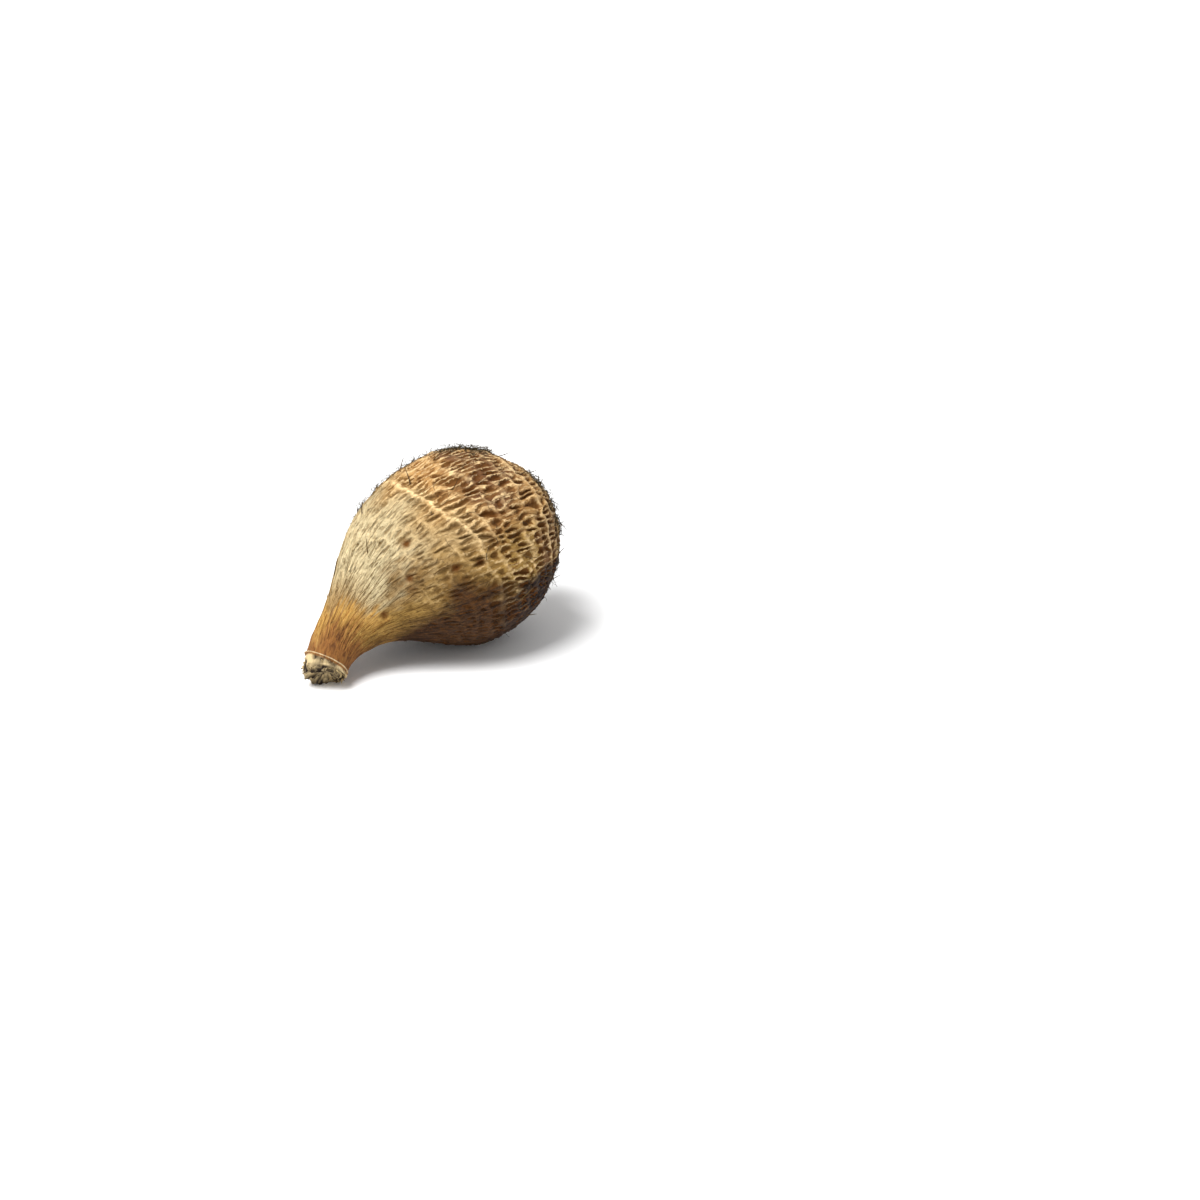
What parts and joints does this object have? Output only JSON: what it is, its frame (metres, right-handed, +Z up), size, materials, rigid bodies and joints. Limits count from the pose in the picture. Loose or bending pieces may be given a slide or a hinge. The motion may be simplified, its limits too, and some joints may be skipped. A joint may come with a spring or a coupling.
{
  "type": "taro root",
  "caption": "Whole taro corm lying on its side: a rounded ringed body with a netted skin, a narrow broken neck, wiry rootlets and a dark fibrous bud at the growing end.",
  "frame": {"origin": "centre of the bounding box in X and Y, at the height of the surface that the root lies on", "axes": "+Z up; +X runs from the broken neck to the blunt growing end; +Y completes the right-handed set"},
  "size_m": [0.1217, 0.081, 0.0771],
  "materials": {
    "skin": "dry matte bark-like skin, tan with darker brown pits and long pale streaks",
    "dead_fibre": "dry matte dark brown fibres of dead leaf bases"
  },
  "bodies": {
    "root": {"corm": "skin", "apex_tuft": "dead_fibre"}
  },
  "joints": []
}
